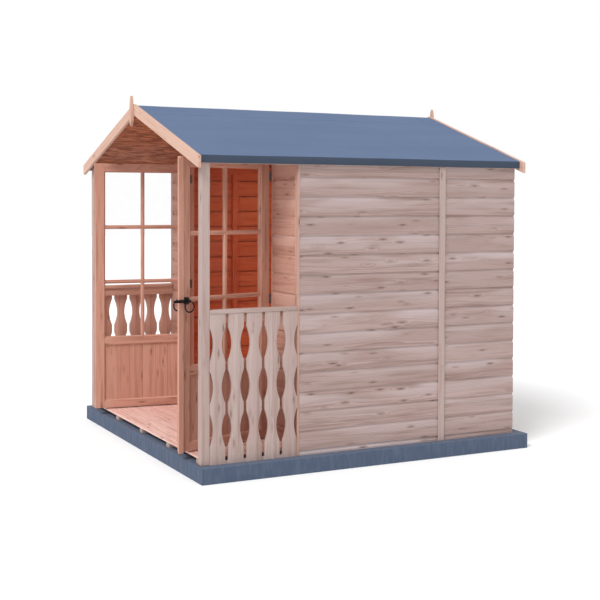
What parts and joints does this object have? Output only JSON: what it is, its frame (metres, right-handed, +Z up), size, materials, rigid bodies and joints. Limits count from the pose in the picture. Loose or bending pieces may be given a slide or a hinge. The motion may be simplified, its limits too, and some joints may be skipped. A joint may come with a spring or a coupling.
{
  "type": "summerhouse",
  "caption": "Timber garden summerhouse with an open verandah, glazed double doors, wavy balustrades and a felted gable roof, on a low plinth.",
  "frame": {"origin": "on the ground under the plinth, midway between the side walls and midway between the post fronts and the back wall", "axes": "+Z up; the verandah and its doors face -Y; +X is the right-hand side seen from the front"},
  "size_m": [2.146, 2.2792, 2.1816],
  "materials": {
    "cladding": "rough sawn shiplap, unpainted softwood",
    "trim": "planed softwood, unpainted",
    "door": "planed softwood, unpainted",
    "floor": "planed softwood boards",
    "frame": "sawn softwood battens",
    "deck": "flake board",
    "felt": "mineral faced roofing felt, matt",
    "plinth": "rough cast and painted",
    "hinge": "plated, dull",
    "iron": "black, satin",
    "glass": "clear"
  },
  "bodies": {
    "house": {"plinth": "plinth", "floor_joists": "frame", "floor": "floor", "right_cladding": "cladding", "right_wall_frame": "frame", "right_cover_strip": "trim", "left_cladding": "cladding", "left_wall_frame": "frame", "left_cover_strip": "trim", "back_cladding": "cladding", "back_wall_frame": "frame", "front_right_cladding": "cladding", "front_left_cladding": "cladding", "front_gable_cladding": "cladding", "right_door_jamb": "trim", "left_door_jamb": "trim", "door_head": "trim", "front_right_corner_strip": "trim", "front_left_corner_strip": "trim", "right_post": "trim", "right_eaves_rail": "trim", "right_balustrade": "trim", "right_handrail": "trim", "right_roof_deck": "deck", "right_eaves_batten": "trim", "left_post": "trim", "left_eaves_rail": "trim", "left_balustrade": "trim", "left_handrail": "trim", "left_roof_deck": "deck", "left_eaves_batten": "trim", "ridge_beam": "frame", "roof_felt": "felt", "front_right_barge_board": "trim", "front_left_barge_board": "trim", "front_finial": "trim", "back_right_barge_board": "trim", "back_left_barge_board": "trim", "back_finial": "trim", "right_hinge_low": "hinge", "right_hinge_middle": "hinge", "right_hinge_high": "hinge", "left_hinge_low": "hinge", "left_hinge_middle": "hinge", "left_hinge_high": "hinge"},
    "left_door": {"left_door_glass": "glass", "left_door_panel": "door", "left_door_frame": "door", "latch_keep": "iron"},
    "right_door": {"right_door_glass": "glass", "right_door_panel": "door", "right_door_frame": "door", "meeting_strip": "door", "latch_plate": "iron"},
    "latch": {"ring_latch": "iron"}
  },
  "joints": [
    {"name": "left_door_hinge", "type": "hinge", "parent": "house", "child": "left_door", "pos_m": [-0.6595, -0.468, 0.96], "axis": [0, 0, -1], "range_deg": [-96, 8]},
    {"name": "right_door_hinge", "type": "hinge", "parent": "house", "child": "right_door", "pos_m": [0.6595, -0.468, 0.96], "axis": [0, 0, 1], "range_deg": [-106, 0]},
    {"name": "ring_latch_turn", "type": "hinge", "parent": "right_door", "child": "latch", "pos_m": [0.83108, -1.06638, 0.981], "axis": [-0.9613, -0.2756, 0], "range_deg": [0, 25]}
  ]
}
